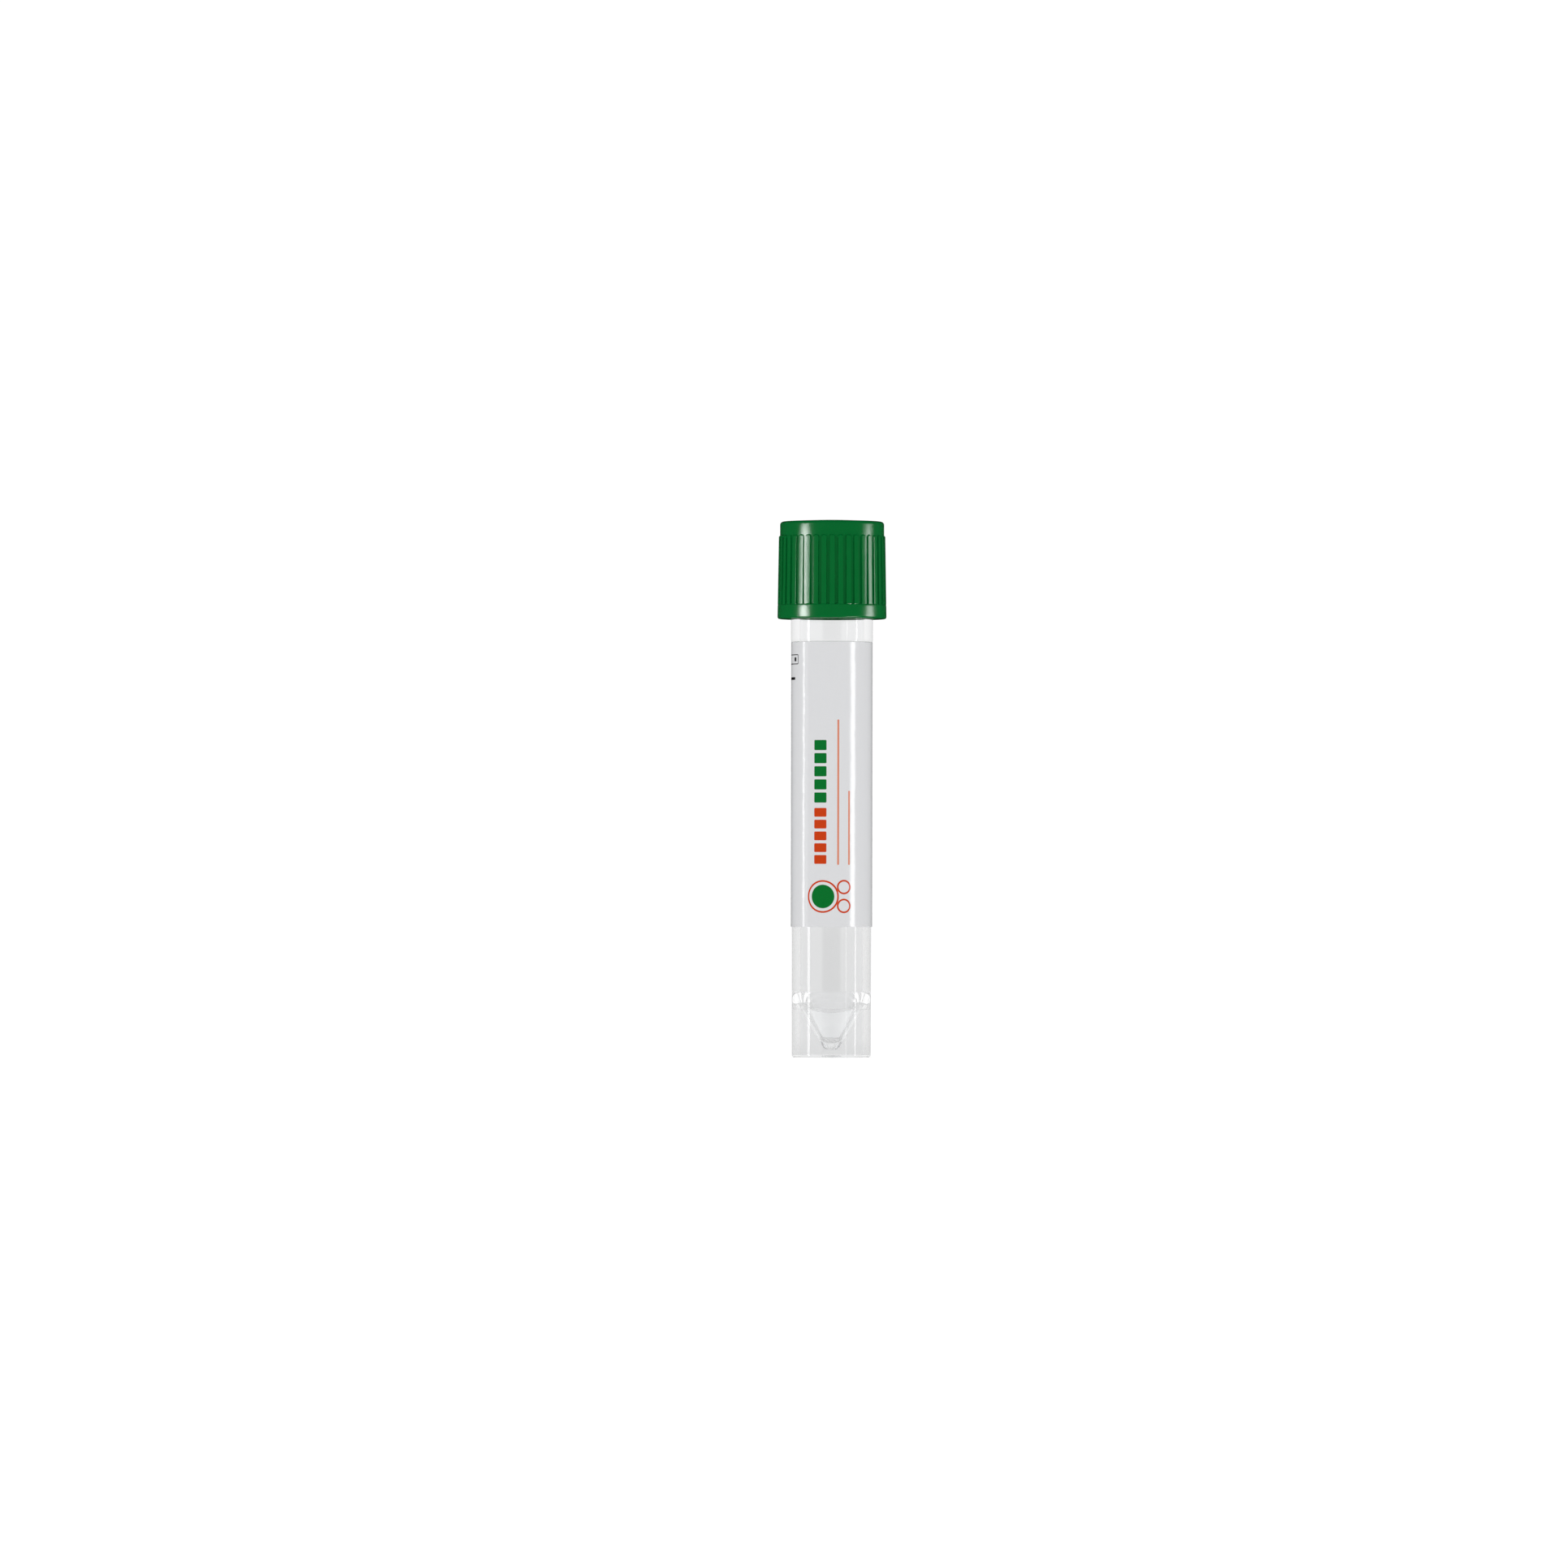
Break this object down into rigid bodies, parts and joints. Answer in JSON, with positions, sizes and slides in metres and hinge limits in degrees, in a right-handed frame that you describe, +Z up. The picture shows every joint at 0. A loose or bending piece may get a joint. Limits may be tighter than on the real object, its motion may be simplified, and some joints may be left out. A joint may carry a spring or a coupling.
{
  "type": "specimen swab tube",
  "caption": "Clear self-standing specimen tube with a conical bottom, a wrap-round label and a ribbed green screw cap that holds a swab.",
  "frame": {"origin": "centre of the ring that the tube stands on", "axes": "+Z up along the tube's axis, towards the cap; -Y is the printed front, +Y the label's seam"},
  "size_m": [0.0162, 0.0162, 0.08],
  "materials": {
    "clear_plastic": "clear, polished",
    "label_film": "glossy white film",
    "silicone": "matt",
    "green_plastic": "satin moulded"
  },
  "bodies": {
    "tube": {"tube": "clear_plastic", "label": "label_film"},
    "seal": {"seal_washer": "silicone"},
    "cap": {"screw_cap": "green_plastic"}
  },
  "joints": [
    {"name": "cap_rise", "type": "slide", "parent": "tube", "child": "seal", "axis": [0, 0, 1], "range_m": [0, 0.0135]},
    {"name": "cap_turn", "type": "hinge", "parent": "seal", "child": "cap", "pos_m": [0, 0, 0.0716], "axis": [0, 0, 1], "range_deg": [0, 1620]}
  ],
  "couplings": [
    {"joint": "cap_turn", "follows": "cap_rise", "rad_per_m": 2094.4}
  ]
}
